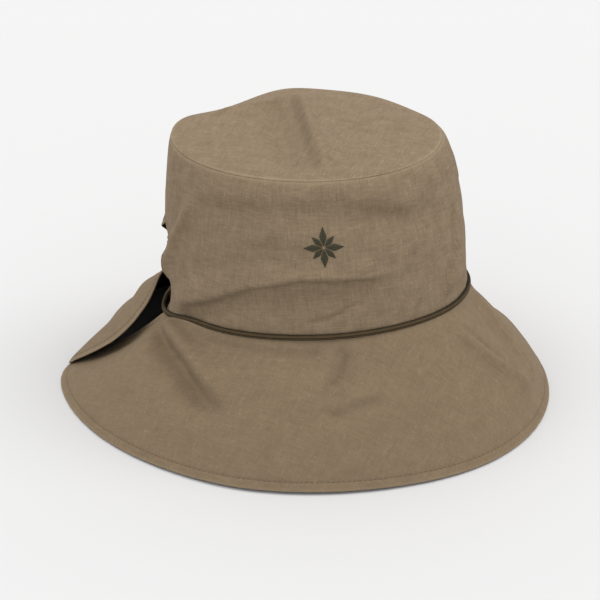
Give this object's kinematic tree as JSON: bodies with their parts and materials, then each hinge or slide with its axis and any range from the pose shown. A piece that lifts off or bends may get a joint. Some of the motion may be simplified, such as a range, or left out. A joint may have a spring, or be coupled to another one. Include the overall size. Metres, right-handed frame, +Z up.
{
  "type": "reversible hat",
  "caption": "Soft cloth bucket hat with a wide drooping brim, split and lapped at the back under an open keyhole, and a cord round the crown.",
  "frame": {"origin": "middle of the hat's footprint, on the surface it rests on", "axes": "+X towards the front of the hat, +Y towards its left side as worn facing +X, +Z up through the crown"},
  "size_m": [0.313, 0.2807, 0.1743],
  "materials": {
    "outer_cloth": "slubby plain weave, matt",
    "cord_cloth": "rolled cloth cord, matt"
  },
  "bodies": {
    "root": {"crown_side": "outer_cloth", "crown_tip": "outer_cloth", "brim": "outer_cloth", "base_cord": "cord_cloth"}
  },
  "joints": []
}
